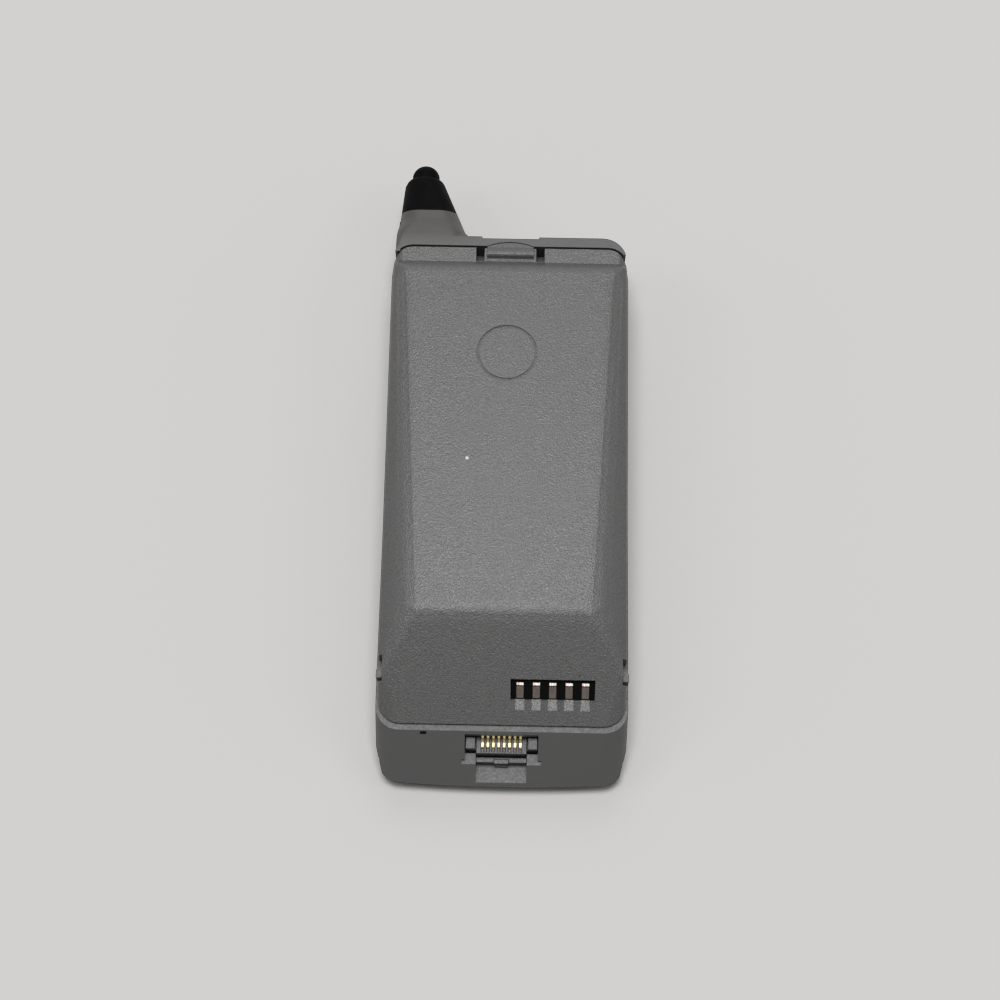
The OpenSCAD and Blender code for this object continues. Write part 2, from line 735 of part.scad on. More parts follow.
module display_window() {
    color("darkslategray") slab(round_rect(-window_w / 2, window_y - window_l / 2, window_w / 2,
        window_y + window_l / 2, 1.5 - fit, 1.5 - fit), wall - window_t, wall);
}

// Glass and frame with four legs that stand on the logic board
module display_module() {
    leg = 2;
    color("olive") union() {
        box(-window_w / 2, window_y - window_l / 2, wall + fit,
            window_w / 2, window_y + window_l / 2, wall + 3);
        both_sides() for (s = [-1, 1]) box(window_w / 2 - leg, window_y + s * (window_l / 2 - leg / 2) - leg / 2,
            wall + 2, window_w / 2, window_y + s * (window_l / 2 - leg / 2) + leg / 2, board_h);
    }
}

module earpiece_gasket() {
    color("black") difference() {
        rod_z(0, ear_y, wall, wall + 0.4, ear_d / 2);
        rod_z(0, ear_y, 0, FAR, ear_d / 2 - 1.5);
    }
}

module earpiece_speaker() {
    color("gray") union() {
        rod_z(0, ear_y, wall + 0.4, wall + 3.2, ear_d / 2);
        rod_z(0, ear_y, wall + 3.2, wall + 4.2, ear_d / 4);
    }
}

module ringer() {
    color("black") difference() {
        rod_z(inner_hw - 10, ear_y, board_h - 4, board_h, 5.5);
        rod_z(inner_hw - 10, ear_y, 0, board_h - 3, 1);
    }
}

module microphone() {
    color("silver") rod_z(0, mic_y, wall + mic_lift, wall + mic_t, mic_r - mic_lift);
}

module microphone_boot() {
    color("black") difference() {
        rod_z(0, mic_y, wall, wall + mic_t, mic_r);
        rod_z(0, mic_y, wall + mic_lift, FAR, mic_r - mic_lift);
        rod_z(0, mic_y, 0, FAR, mic_hole);
    }
}

// Main board with a tongue that reaches into the chin
module logic_board() {
    tongue_hw = chin_hw - 0.4;
    color("darkgreen") union() {
        slab(round_rect(board_x0, y_chin + 0.4, board_x1, board_y1, 1, 1), board_h, board_top);
        box(-tongue_hw, board_y0, board_h, tongue_hw, y_chin + 1, board_top);
    }
}

// Packages under the shield, in two rows
module board_components() {
    chip = [10, 7];
    step = [16, (shield_y1 - shield_y0 - 6) / 4];
    color("black") for (i = [0:3], j = [0, 1]) {
        x = shield_x0 + 4 + step[0] * j;
        y = shield_y0 + 4 + step[1] * i;
        box(x, y, board_top, x + chip[0] - 2 * j, y + chip[1] - i, board_top + 1.2);
    }
}

module rf_shield() {
    can_t = 0.3;
    color("silver") difference() {
        box(shield_x0, shield_y0, board_top, shield_x1, shield_y1, bed_in - fit);
        box(shield_x0 + can_t, shield_y0 + can_t, 0,
            shield_x1 - can_t, shield_y1 - can_t, bed_in - fit - can_t);
    }
}

module key_domes() {
    color("silver") for (x = key_col_x, y = key_row_y) rod_z(x, y, board_h - dome_t, board_h, 2.5);
}

// Moulded insert: a comb for the contacts between two side blocks, and a bar with a keying nub in front
module accessory_connector() {
    comb_hw = conn_mid / 2 - fit;
    side_hw = conn_w / 2 - 0.2;
    side_x = comb_hw + 0.3;
    base_z = conn_bed + fit;
    y_back = board_y0 - fit;
    nub_hw = 1.7;
    toe_hw = 1.5;
    color("dimgray") translate([conn_x, 0, 0]) difference() {
        union() {
            box(-comb_hw, comb_y, base_z, comb_hw, y_back, comb_z);
            box(-side_hw, pad_y, base_z, side_hw, y_back, conn_deck);
            both_sides() box(side_x, pad_y, base_z, side_hw, conn_y - fit, conn_deck + 2);
            box(-comb_hw, bar_y0, conn_floor + fit, comb_hw, comb_y + 0.5, base_z + 0.2);
            box(-comb_hw, bar_y0, conn_floor + fit, comb_hw, bar_y1, bar_z);
            box(-nub_hw, bar_y0 - 0.3, conn_floor + fit, nub_hw, bar_y1 - 0.5, bar_z + 0.2);
            box(-toe_hw, bar_y0 - 0.65, conn_floor + fit, toe_hw, bar_y0, conn_floor + 0.9);
        }
        for (i = [0:conn_n - 1]) translate([conn_pin_x0 - conn_x + conn_pitch * i, 0, 0])
            box(-conn_pin_w / 2 - 0.05, comb_y + 0.4, comb_slot, conn_pin_w / 2 + 0.05, FAR, FAR);
    }
}

// Bent gold strips that lie in the comb, arch over its front end and reach the board
module connector_pins() {
    tip = y_end + 7.95;
    crown = y_end + 9.2;
    arch = 0.5;
    t = 0.25;
    pts = [[tip, comb_slot], [tip + 0.4, comb_slot + arch - 0.05], [crown, comb_slot + arch], [conn_y, comb_slot],
        [board_y0 - 1, board_top], [board_y0 + 1, board_top], [board_y0 + 1, board_top + t],
        [board_y0 - 1.1, board_top + t], [conn_y - 0.1, comb_slot + t], [crown, comb_slot + arch + t],
        [tip + 0.3, comb_slot + arch + t - 0.05], [tip, comb_slot + t]];
    color("gold") for (i = [0:conn_n - 1]) {
        x = conn_pin_x0 + conn_pitch * i;
        along_x(pts, x - conn_pin_w / 2, x + conn_pin_w / 2);
    }
}

module battery_terminals() {
    color("gold") for (x = term_x) along_x([[term_y - 1.2, board_top], [term_y + 1.2, board_top],
        [term_y + 0.4, pack_z0 - fit], [term_y - 0.4, pack_z0 - fit]], x - 0.8, x + 0.8);
}

module case_screws() {
    color("silver") both_sides() for (y = screw_y) {
        rod_z(screw_x, y, seam_h + 0.3, bed_h - 0.5, screw_r);
        rod_z(screw_x, y, bed_h - 0.9, bed_h - 0.1, head_r);
    }
}

module side_switches() {
    color("black") for (y = side_y) {
        box(board_x1 - 4, y - 2.2, board_top, half_w - wall - 2, y + 2.2, board_top + 1.7);
    }
}

// Volume key in its window, with a flange behind the wall
module volume_key(y) {
    x_in = inner_hw - 0.8 - side_travel;
    color("dimgray") union() {
        box(x_in, y - side_w / 2, side_z - side_h / 2, half_w, y + side_w / 2, side_z + side_h / 2);
        box(inner_hw - 0.8, y - side_w / 2 - 0.6, side_z - side_h / 2 - 0.4, inner_hw - fit,
            y + side_w / 2 + 0.6, side_z + side_h / 2 + 0.4);
    }
}

module volume_up_key() { volume_key(side_y[0]); }

module volume_down_key() { volume_key(side_y[1]); }

module hinge_pins() {
    color("silver") both_sides() rod_x(block_w / 2 - pin_len / 2 + fit, block_w / 2 + pin_len / 2,
        hinge_y, hinge_h, pin_r);
}

module hinge_bushings() {
    x0 = block_w / 2 + flip_gap;
    color("goldenrod") both_sides() difference() {
        rod_x(x0, block_w / 2 + pin_len / 2 + 1, hinge_y, hinge_h, pin_r + pin_clear + bush_t);
        rod_x(0, FAR, hinge_y, hinge_h, pin_r + pin_clear);
    }
}

// The flip's plan, inset from its sides
function flip_plan(inset) = round_rect(-flip_w / 2 + inset, hinge_y, flip_w / 2 - inset, flip_y1 - inset, 0, 3);

// Sound slots through the flip near its hinge
module sound_slots() {
    for (i = [0:sound_n - 1]) {
        y = sound_y + (i - (sound_n - 1) / 2) * sound_pitch;
        box(-sound_l / 2, y - sound_w / 2, -1, sound_l / 2, y + sound_w / 2, FAR);
    }
}

module flip_cover() {
    x0 = block_w / 2 + flip_gap;
    color("dimgray") difference() {
        union() {
            hull() {
                slab(flip_plan(flip_edge), flip_lift, flip_lift + EPS);
                slab(flip_plan(0), flip_lift + flip_edge, flip_in);
            }
            both_sides() rod_x(x0, flip_w / 2 - flip_edge - flip_lift, hinge_y, hinge_h, barrel_r);
        }
        rod_x(-x0, x0, hinge_y, hinge_h, hinge_in + flip_gap);
        slab(round_rect(-flip_w / 2 + flip_rim, hinge_y + hinge_in + 3, flip_w / 2 - flip_rim,
            flip_y1 - flip_rim, 1, 2), liner_h, FAR);
        both_sides() rod_x(x0 - 1, block_w / 2 + pin_len / 2 + 1.2, hinge_y, hinge_h,
            pin_r + pin_clear + bush_t + EPS);
        sound_slots();
    }
}

module flip_liner() {
    color("gray") difference() {
        slab(round_rect(-flip_w / 2 + flip_rim + fit, hinge_y + hinge_in + 3 + fit, flip_w / 2 - flip_rim - fit,
            flip_y1 - flip_rim - fit, 1, 2), liner_h, flip_in - fit);
        sound_slots();
    }
}

// Four spheres that round the ends of the pack's hump, moved in by inset
module hump_balls(inset) {
    low = edge_at(k_top, tilt_a, k_slope, -slope_a, hump_r_s);
    high = edge_at(k_top, tilt_a, k_drop, drop_a, hump_r_n);
    both_sides() {
        translate([pack_hw + rim_z(low[0]) - low[1] - hump_r_s * sqrt(2), low[0], low[1]])
            sphere(r = hump_r_s - inset, $fn = HULL_FN);
        translate([pack_hw + rim_z(high[0]) - high[1] - hump_r_n * sqrt(2), high[0], high[1]])
            sphere(r = hump_r_n - inset, $fn = HULL_FN);
    }
}

// Outside of the pack: a wedge between its top, slope, drop and 45 degree sides, with rounded rims
module pack_form() {
    sink = rim_r * (sqrt(2) - 1);
    south = ((rim_c - sink) * cos(slope_a) - k_slope + rim_r) / (sin(slope_a) - rim_k * cos(slope_a));
    north = (k_drop - rim_r - (rim_c - sink) * cos(drop_a)) / (sin(drop_a) + rim_k * cos(drop_a));
    hull() {
        hump_balls(0);
        both_sides() for (y = [south, north]) translate([pack_hw - rim_r, y, rim_z(y) - sink])
            sphere(r = rim_r, $fn = HULL_FN);
        slab(round_rect(-pack_hw, pack_y0, pack_hw, drop_y, pack_r, 0), pack_z0 - 1, edge_z);
        box(-pack_hw + rim_r, drop_y - SLICE, pack_z0, pack_hw - rim_r, drop_y, strip_z);
    }
}

// Hollow of the pack, one wall inside its form
module pack_hollow() {
    south = pack_y0 + 2 * pack_wall;
    rise = pack_y0 + (rim_s - edge_h) / tan(slope_a);
    north = hump_y1 - pack_wall;
    hull() {
        hump_balls(pack_wall);
        along_x([[south, pack_z0 - pack_wall], [south, edge_z - pack_wall], [rise, rim_z(rise) - 2 * pack_wall],
            [north, rim_z(north) - pack_wall], [north, pack_z0 - pack_wall]],
            -pack_hw + pack_wall, pack_hw - pack_wall);
    }
}

// Places children on the slope, with +Y up the slope and +Z out of it
module on_slope(y) { translate([0, y, slope_z(y)]) rotate([slope_a, 0, 0]) children(); }

// Places children on the hump's top, with +Z out of it
module on_top(y) { translate([0, y, top_z(y)]) rotate([-tilt_a, 0, 0]) children(); }

module battery_cover() {
    win = latch_w / 2 + latch_slot;
    ramp_y = contact_y - contact_l / 2 * cos(slope_a);
    color("gray") difference() {
        union() {
            intersection() {
                pack_form();
                box(-FAR, -FAR, pack_z0, FAR, FAR, FAR);
            }
            // Latch strip, rounded along its sides and at its corners
            intersection() {
                along_y(round_rect(-strip_hw, pack_z0, strip_hw, strip_z, 0, strip_r), strip_y, pack_y1 + 1);
                slab(round_rect(-strip_hw - EPS, strip_y - 1, strip_hw + EPS, pack_y1, 0, top_r), 0, FAR);
            }
        }
        pack_hollow();
        box(-pack_hw + pack_wall, pack_y0 + 2 * pack_wall, 0, pack_hw - pack_wall, tray_y1 + fit, tray_z1);
        // Ring of the blank badge
        on_top(badge_y) translate([badge_x, 0, 0]) difference() {
            rod_z(0, 0, -badge_deep, 1, badge_d / 2);
            rod_z(0, 0, -1, 2, badge_d / 2 - badge_ring);
        }
        // Latch window, side notches, contact window with its five guide ramps
        box(-win, latch_y0 - latch_gap, 0, win, FAR, FAR);
        both_sides() box(pack_hw - lug_t - lug_clear, lug_y - lug_gap, 0, FAR, lug_y + lug_len + pack_slide + pack_gap,
            FAR);
        on_slope(contact_y) box(contact_x - contact_win / 2, -contact_l / 2, -4, contact_x + contact_win / 2,
            contact_l / 2, 4);
        for (i = [0:contact_n - 1]) {
            x = contact_x0 + contact_pitch * i;
            box(x - ramp_w / 2, ramp_y - ramp_l, slope_z(ramp_y - ramp_l), x + ramp_w / 2, ramp_y + 0.5, FAR);
        }
    }
}

module battery_tray() {
    color("gray") difference() {
        slab(round_rect(-pack_hw + pack_wall + fit, pack_y0 + 2 * pack_wall + fit, pack_hw - pack_wall - fit,
            tray_y1, 1, 1), pack_z0, tray_z1);
        for (x = term_x) box(x - 2, term_y - 3, 0, x + 2, term_y + 3, pack_z0 + 0.3);
    }
}

module battery_pads() {
    color("gold") for (x = term_x) box(x - 2 + fit, term_y - 3 + fit, pack_z0, x + 2 - fit, term_y + 3 - fit,
        pack_z0 + 0.3);
}

module battery_cells() {
    color("steelblue") for (i = [0:cell_n - 1]) translate([0, cell_y1 - cell_pitch * i, 0])
        along_x(round_rect(-cell_w / 2, tray_z1, cell_w / 2, tray_z1 + cell_t, 1.5, 1.5),
            -cell_l / 2, cell_l / 2);
}

// Welded links between neighbouring cells, on alternate ends
module cell_straps() {
    color("silver") for (i = [0:cell_n - 2]) mirror([i % 2, 0, 0])
        box(cell_l / 2, cell_y1 - cell_pitch * i - cell_pitch * 0.8, tray_z1 + 1.6, cell_l / 2 + 0.2,
            cell_y1 - cell_pitch * i - cell_pitch * 0.2, tray_z1 + 3.2);
}

module contact_carrier() {
    half_l = contact_l / 2 - fit;
    half_win = contact_win / 2 - fit;
    color("black") intersection() {
        on_slope(contact_y) box(contact_x - half_win, -half_l, -FAR,
            contact_x + half_win, half_l, -contact_deep);
        box(-FAR, -FAR, tray_z1, FAR, FAR, FAR);
    }
}

// Nickel strips that lie on the carrier and turn up at their upper end
module charge_contacts() {
    y0 = -contact_l / 2 + 0.3;
    y1 = contact_l / 2 - 0.8;
    t = 0.25;
    rise = 0.9;
    bend = 0.65;
    color("silver") for (i = [0:contact_n - 1]) translate([contact_x0 + contact_pitch * i, 0, 0])
        on_slope(contact_y) translate([0, 0, -contact_deep]) along_x([[y0, 0], [y1, 0],
            [y1, rise - bend * tan(slope_a)], [y1 - bend, rise], [y1 - bend - 0.3, t], [y0, t]],
            -contact_w / 2, contact_w / 2);
}

// Press latch: a plate with a grip ridge that falls to an arched nose
module battery_latch() {
    plate_z = strip_z - latch_gap;
    ridge_z = strip_z + grip_h;
    edge_drop = grip_h / 4;
    nose_z = latch_z0 + 0.8;
    nose_y = pack_y1 + latch_nose + 1;
    color("gray") union() {
        box(-latch_w / 2, latch_y0, latch_z0, latch_w / 2, pack_y1, plate_z);
        intersection() {
            along_x([[latch_y0 + 0.75, nose_z], [latch_y0 + 0.75, plate_z], [latch_y0 + 1.2, ridge_z - edge_drop],
                [latch_y0 + 1.5, ridge_z], [latch_y0 + 2.3, ridge_z], [latch_y0 + 2.9, ridge_z - edge_drop],
                [pack_y1, strip_z + 0.3], [nose_y, strip_z + 0.1], [nose_y, nose_z]], -grip_w / 2, grip_w / 2);
            rod_z(0, latch_arc_y, 0, FAR, latch_arc);
        }
    }
}

// A key with a flange behind the deck and a plunger over its dome
module key(index) {
    row = floor(index / 3);
    color("darkgray") translate([key_col_x[index % 3], key_row_y[5 - row], 0]) union() {
        hull() {
            slab(key_plan(-key_edge, key_corner - key_edge), deck_h - key_proud, deck_h - key_proud + EPS);
            slab(key_plan(0, key_corner), deck_h - key_proud + key_edge, deck_in + EPS);
        }
        slab(key_plan(key_flange, key_corner), deck_in, key_foot);
        rod_z(0, 0, deck_in, key_end, 1.5);
    }
}

front_housing();
rear_housing();
antenna_boot();
antenna_bushing();
antenna_guide();
display_window();
display_module();
earpiece_speaker();
earpiece_gasket();
ringer();
microphone();
microphone_boot();
logic_board();
board_components();
rf_shield();
key_domes();
accessory_connector();
connector_pins();
battery_terminals();
case_screws();
side_switches();
hinge_pins();
hinge_bushings();
flip_cover();
flip_liner();
antenna_whip();
antenna_tip();
whip_stop();
battery_cover();
battery_tray();
battery_cells();
cell_straps();
battery_pads();
contact_carrier();
charge_contacts();
battery_latch();
volume_up_key();
volume_down_key();
for (i = [0:len(KEYS) - 1]) key(i);
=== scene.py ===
"""Looks of a slim flip phone that lies face down: grained grey plastic, black rubber and plated contacts."""
import json
import math

import bpy
from mathutils import Matrix, Vector


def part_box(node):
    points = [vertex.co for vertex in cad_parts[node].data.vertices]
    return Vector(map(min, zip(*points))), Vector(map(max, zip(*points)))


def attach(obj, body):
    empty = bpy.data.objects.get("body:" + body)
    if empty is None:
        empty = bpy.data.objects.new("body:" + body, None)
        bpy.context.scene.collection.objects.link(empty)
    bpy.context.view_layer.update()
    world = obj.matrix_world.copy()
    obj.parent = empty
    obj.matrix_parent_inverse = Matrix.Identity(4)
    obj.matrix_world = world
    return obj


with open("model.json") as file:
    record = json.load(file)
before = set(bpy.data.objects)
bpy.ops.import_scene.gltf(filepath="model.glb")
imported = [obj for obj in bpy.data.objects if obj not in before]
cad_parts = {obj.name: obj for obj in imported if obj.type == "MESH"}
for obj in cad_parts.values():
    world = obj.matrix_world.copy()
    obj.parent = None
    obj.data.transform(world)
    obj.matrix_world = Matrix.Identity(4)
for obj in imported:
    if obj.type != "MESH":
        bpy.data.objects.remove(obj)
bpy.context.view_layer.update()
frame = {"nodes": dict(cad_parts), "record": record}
NODES = frame["nodes"]
MM = 0.001

# Middle of the handset's body along Y, without the antenna
BODY_Y = -12.05 * MM
# The photograph's camera: elevation, turn about Z, distance, lens and the point it looks at
CAM_ELEV = math.radians(71)
CAM_TURN = math.radians(1.12)
CAM_DIST = 453.7 * MM
CAM_LENS = 66.96
CAM_TARGET = Vector((-1.4 * MM, 0.8 * MM, 12 * MM))
# Linear colour of the pale table and of the background
PALE = (0.645, 0.638, 0.624)


def make_camera():
    data = bpy.data.cameras.new("camera")
    data.sensor_width = 36
    data.lens = CAM_LENS
    data.clip_start = 0.01
    data.clip_end = 20
    cam = bpy.data.objects.new("camera", data)
    bpy.context.scene.collection.objects.link(cam)
    turn = Matrix.Rotation(CAM_TURN, 4, "Z")
    forward = Vector((0, math.cos(CAM_ELEV), -math.sin(CAM_ELEV)))
    cam.location = turn @ (CAM_TARGET - CAM_DIST * forward) + Vector((0, BODY_Y, 0))
    cam.rotation_euler = (math.pi / 2 - CAM_ELEV, 0, CAM_TURN)
    bpy.context.scene.camera = cam


class Shader:
    """A node material with short calls for the nodes that it needs."""

    def __init__(self, name):
        self.mat = bpy.data.materials.new(name)
        self.mat.use_nodes = True
        self.tree = self.mat.node_tree
        self.tree.nodes.clear()
        self.out = self.node("ShaderNodeOutputMaterial")
        self.coord = self.node("ShaderNodeTexCoord").outputs["Object"]

    def node(self, kind, **values):
        n = self.tree.nodes.new(kind)
        for key, value in values.items():
            setattr(n, key, value)
        return n

    def link(self, a, b):
        self.tree.links.new(a, b)

    def put(self, socket, value):
        """Sets a socket from a plain value or from another socket."""
        if isinstance(value, bpy.types.NodeSocket):
            self.link(value, socket)
        else:
            socket.default_value = value

    def noise(self, size, detail=2.0, rough=0.5):
        """Noise whose features measure about size metres."""
        n = self.node("ShaderNodeTexNoise")
        self.link(self.coord, n.inputs["Vector"])
        n.inputs["Scale"].default_value = 1 / size
        n.inputs["Detail"].default_value = detail
        n.inputs["Roughness"].default_value = rough
        return n.outputs["Fac"]

    def cells(self, size):
        n = self.node("ShaderNodeTexVoronoi")
        self.link(self.coord, n.inputs["Vector"])
        n.inputs["Scale"].default_value = 1 / size
        return n.outputs["Distance"]

    def spread(self, value, low, high, to_low=0.0, to_high=1.0):
        n = self.node("ShaderNodeMapRange")
        self.link(value, n.inputs["Value"])
        n.inputs["From Min"].default_value = low
        n.inputs["From Max"].default_value = high
        n.inputs["To Min"].default_value = to_low
        n.inputs["To Max"].default_value = to_high
        return n.outputs["Result"]

    def mix(self, fac, a, b, blend="MIX"):
        n = self.node("ShaderNodeMix", data_type="RGBA", blend_type=blend)
        self.put(n.inputs["Factor"], fac)
        self.put(n.inputs["A"], a)
        self.put(n.inputs["B"], b)
        return n.outputs["Result"]

    def math(self, operation, *values):
        n = self.node("ShaderNodeMath", operation=operation)
        for socket, value in zip(n.inputs, values):
            self.put(socket, value)
        return n.outputs["Value"]

    def add(self, a, b, scale):
        """a plus b times scale."""
        return self.math("MULTIPLY_ADD", b, scale, a)

    def axes(self):
        n = self.node("ShaderNodeSeparateXYZ")
        self.link(self.coord, n.inputs["Vector"])
        return n.outputs["X"], n.outputs["Y"]

    def line(self, along, start, end):
        """Height of the straight line through two points (place, height)."""
        rise = (end[1] - start[1]) / (end[0] - start[0])
        return self.math("MULTIPLY_ADD", along, rise, start[1] - rise * start[0])

    def away(self, place):
        """Distance in plan from a point."""
        x, y = self.axes()
        dx = self.math("SUBTRACT", x, place[0])
        dy = self.math("SUBTRACT", y, place[1])
        return self.math("SQRT", self.add(self.math("MULTIPLY", dx, dx), self.math("MULTIPLY", dy, dy), 1.0))

    def bump(self, height, distance, strength=1.0, under=None):
        n = self.node("ShaderNodeBump")
        n.inputs["Strength"].default_value = strength
        n.inputs["Distance"].default_value = distance
        self.link(height, n.inputs["Height"])
        if under is not None:
            self.link(under, n.inputs["Normal"])
        return n.outputs["Normal"]

    def principled(self, **values):
        n = self.node("ShaderNodeBsdfPrincipled")
        for key, value in values.items():
            self.put(n.inputs[key.replace("_", " ")], value)
        self.link(n.outputs["BSDF"], self.out.inputs["Surface"])
        return self.mat


def rgb(r, g, b):
    return (r, g, b, 1.0)


def scaled(colour, k):
    return tuple(c * k for c in colour[:3]) + (1.0,)


# Warm tint of the antenna's foot, and the stretches along X and Y over which it comes in
WARM_TINT = rgb(0.71, 0.675, 0.595)
WARM_FADE = (6 * MM, 4 * MM)


def grained_plastic(name, colour, rough=0.5, grain=0.3 * MM, depth=0.02 * MM, speck=0.06, gloss=0.5,
                    warm_from=None, wear_and_shade=None):
    """Moulded plastic with a spark-eroded grain, faint blotches and specks.

    warm_from is the place in X and Y past which it turns warm. The last argument is a function that adds wear
    marks and
    painted shade: it takes the shader and the colour, and gives the colour and the normal that the grain goes
    on.
    """
    s = Shader(name)
    fine = s.noise(grain, 2.0, 0.6)
    pits = s.cells(grain * 1.6)
    blotch = s.noise(14 * MM, 3.0)
    base = s.mix(s.spread(fine, 0.35, 0.65), scaled(colour, 1 - speck), scaled(colour, 1 + speck))
    base = s.mix(s.spread(blotch, 0.35, 0.65, 0.0, 0.12), base, scaled(colour, 0.92))
    if warm_from is not None:
        x, y = s.axes()
        past = s.math("MULTIPLY", s.spread(y, warm_from[1], warm_from[1] + WARM_FADE[1]),
                      s.spread(x, warm_from[0], warm_from[0] - WARM_FADE[0]))
        base = s.mix(past, base, WARM_TINT, "MULTIPLY")
    under = None
    if wear_and_shade is not None:
        base, under = wear_and_shade(s, base)
    height = s.add(fine, pits, 0.6)
    return s.principled(
        Base_Color=base,
        Roughness=s.spread(s.noise(grain * 2), 0.3, 0.7, rough - 0.06, rough + 0.08),
        Specular_IOR_Level=gloss,
        Normal=s.bump(height, depth, 0.8, under),
    )


# The pack's hump: half width, ends of its top along Y, heights there of the top and of the side rims, and the
# foot of its slope
PACK_HW = 29.0 * MM
HUMP_Y = (-43.05 * MM, 46.25 * MM)
TOP_Z = (25.3 * MM, 23.4 * MM)
RIM_Z = (19.3 * MM, 21.6 * MM)
SLOPE_FOOT = (-67.55 * MM, 14.85 * MM)
# Radii of the hump's shoulders at both ends of its top
SHOULDER_R = (8.0 * MM, 4.0 * MM)
# Where a cut shoulder bends, in radii outwards from its sharp edge, and how much faster it falls past each
BENDS = ((-0.314, 1.583), (-0.122, -0.312), (0.059, 1.588), (0.222, -2.859))
# How far a worn shoulder is eased
SOFT_SHOULDER = 6.0 * MM
# How far outside the cut shoulder the worn one has its middle
SHOULDER_OUT = 1.2 * MM
# How far the edge between the top and the slope is eased: as cut and as worn
BROW = 1.0 * MM
SOFT_BROW = 1.6 * MM
# The worn shoulders end over this stretch at the top end, and between these two distances down the slope
WEAR_END = 4 * MM
WEAR_ON_SLOPE = (2 * MM, 11 * MM)
# Blank badge: middle, radius and width of its ring
BADGE = (-0.4 * MM, 22.65 * MM)
BADGE_R = 7.1 * MM
BADGE_RING = 0.7 * MM
# A pale chip in the paint, and a near-black spot of painted shade for a small pit that is not modelled: place
# and radius
CHIP = (-9.4 * MM, -5.1 * MM)
CHIP_R = 0.42 * MM
PIT_SHADE = (18.0 * MM, -56.7 * MM)
PIT_SHADE_R = 0.3 * MM


def cut_shoulder(s, crown, side, y):
    """Height of the hump with its shoulders as they are cut."""
    r = s.line(y, (HUMP_Y[0], SHOULDER_R[0]), (HUMP_Y[1], SHOULDER_R[1]))
    outwards = s.math("DIVIDE", s.math("SUBTRACT", crown, side), r)
    fall = 0.0
    for start, rate in BENDS:
        past = s.math("MAXIMUM", s.math("SUBTRACT", outwards, start), 0.0)
        fall = s.math("MULTIPLY_ADD", s.math("MULTIPLY", past, past), rate / 2, fall)
    return s.math("SUBTRACT", crown, s.math("MULTIPLY", r, fall))


def pack_wear_and_shade(s, base):
    """Eased shoulders, painted shade in the badge's ring groove, a chip, and painted shade for a pit."""
    x, y = s.axes()
    top = s.line(y, (HUMP_Y[0], TOP_Z[0]), (HUMP_Y[1], TOP_Z[1]))
    slope = s.line(y, SLOPE_FOOT, (HUMP_Y[0], TOP_Z[0]))
    rim = s.line(y, (HUMP_Y[0], RIM_Z[0]), (HUMP_Y[1], RIM_Z[1]))
    side = s.add(s.math("ADD", rim, PACK_HW), s.math("ABSOLUTE", x), -1.0)
    cut = cut_shoulder(s, s.math("SMOOTH_MIN", top, slope, BROW), side, y)
    worn_side = s.math("ADD", side, SHOULDER_OUT)
    worn = s.math("SMOOTH_MIN", s.math("SMOOTH_MIN", top, slope, SOFT_BROW), worn_side, SOFT_SHOULDER)
    eased = s.math("SUBTRACT", worn, cut)
    on_hump = s.math("MULTIPLY", s.spread(y, HUMP_Y[1] - WEAR_END, HUMP_Y[1], 1.0, 0.0),
                     s.spread(y, HUMP_Y[0] - WEAR_ON_SLOPE[1], HUMP_Y[0] - WEAR_ON_SLOPE[0]))
    # Painted shade: the colour is darkened along the badge's ring groove, where shade falls
    off_ring = s.math("ABSOLUTE", s.math("SUBTRACT", s.away(BADGE), BADGE_R))
    ring_shade = s.spread(off_ring, 0.3 * BADGE_RING, 0.8 * BADGE_RING, 0.5, 0.0)
    base = s.mix(ring_shade, base, rgb(0.015, 0.015, 0.015))
    base = s.mix(s.spread(s.away(CHIP), 0.8 * CHIP_R, CHIP_R, 1.0, 0.0), base, rgb(0.6, 0.6, 0.6))
    # Painted shade: a near-black spot stands for the shade inside a small pit
    base = s.mix(s.spread(s.away(PIT_SHADE), 0.6 * PIT_SHADE_R, PIT_SHADE_R, 1.0, 0.0), base, rgb(0.01, 0.01, 0.01))
    return base, s.bump(s.math("MULTIPLY", eased, on_hump), 1.0)


def rubber(name, colour, rough=0.55, gloss=0.5):
    s = Shader(name)
    fine = s.noise(0.3 * MM, 3.0)
    base = s.mix(s.spread(fine, 0.35, 0.7), scaled(colour, 0.7), scaled(colour, 1.5))
    dust = s.spread(s.noise(4 * MM, 4.0, 0.65), 0.58, 0.8, 0.0, 0.25)
    base = s.mix(dust, base, scaled(colour, 2.4))
    return s.principled(
        Base_Color=base,
        Roughness=s.spread(s.noise(2 * MM), 0.3, 0.7, rough - 0.08, rough + 0.1),
        Specular_IOR_Level=gloss,
        Normal=s.bump(fine, 0.02 * MM, 0.6),
    )


def metal(name, colour, rough=0.25, scratch=0.25 * MM):
    """Plated or drawn metal with fine scratches and slight tarnish."""
    s = Shader(name)
    stretch = s.node("ShaderNodeMapping")
    s.link(s.coord, stretch.inputs["Vector"])
    stretch.inputs["Scale"].default_value = (1.0, 0.12, 1.0)
    lines = s.node("ShaderNodeTexNoise")
    s.link(stretch.outputs["Vector"], lines.inputs["Vector"])
    lines.inputs["Scale"].default_value = 1 / scratch
    tarnish = s.spread(s.noise(1.5 * MM, 3.0), 0.4, 0.75, 0.0, 0.4)
    base = s.mix(tarnish, colour, scaled(colour, 0.55))
    return s.principled(
        Base_Color=base,
        Metallic=1.0,
        Roughness=s.spread(lines.outputs["Fac"], 0.3, 0.7, rough - 0.08, rough + 0.14),
        Normal=s.bump(lines.outputs["Fac"], 0.01 * MM, 0.5),
    )


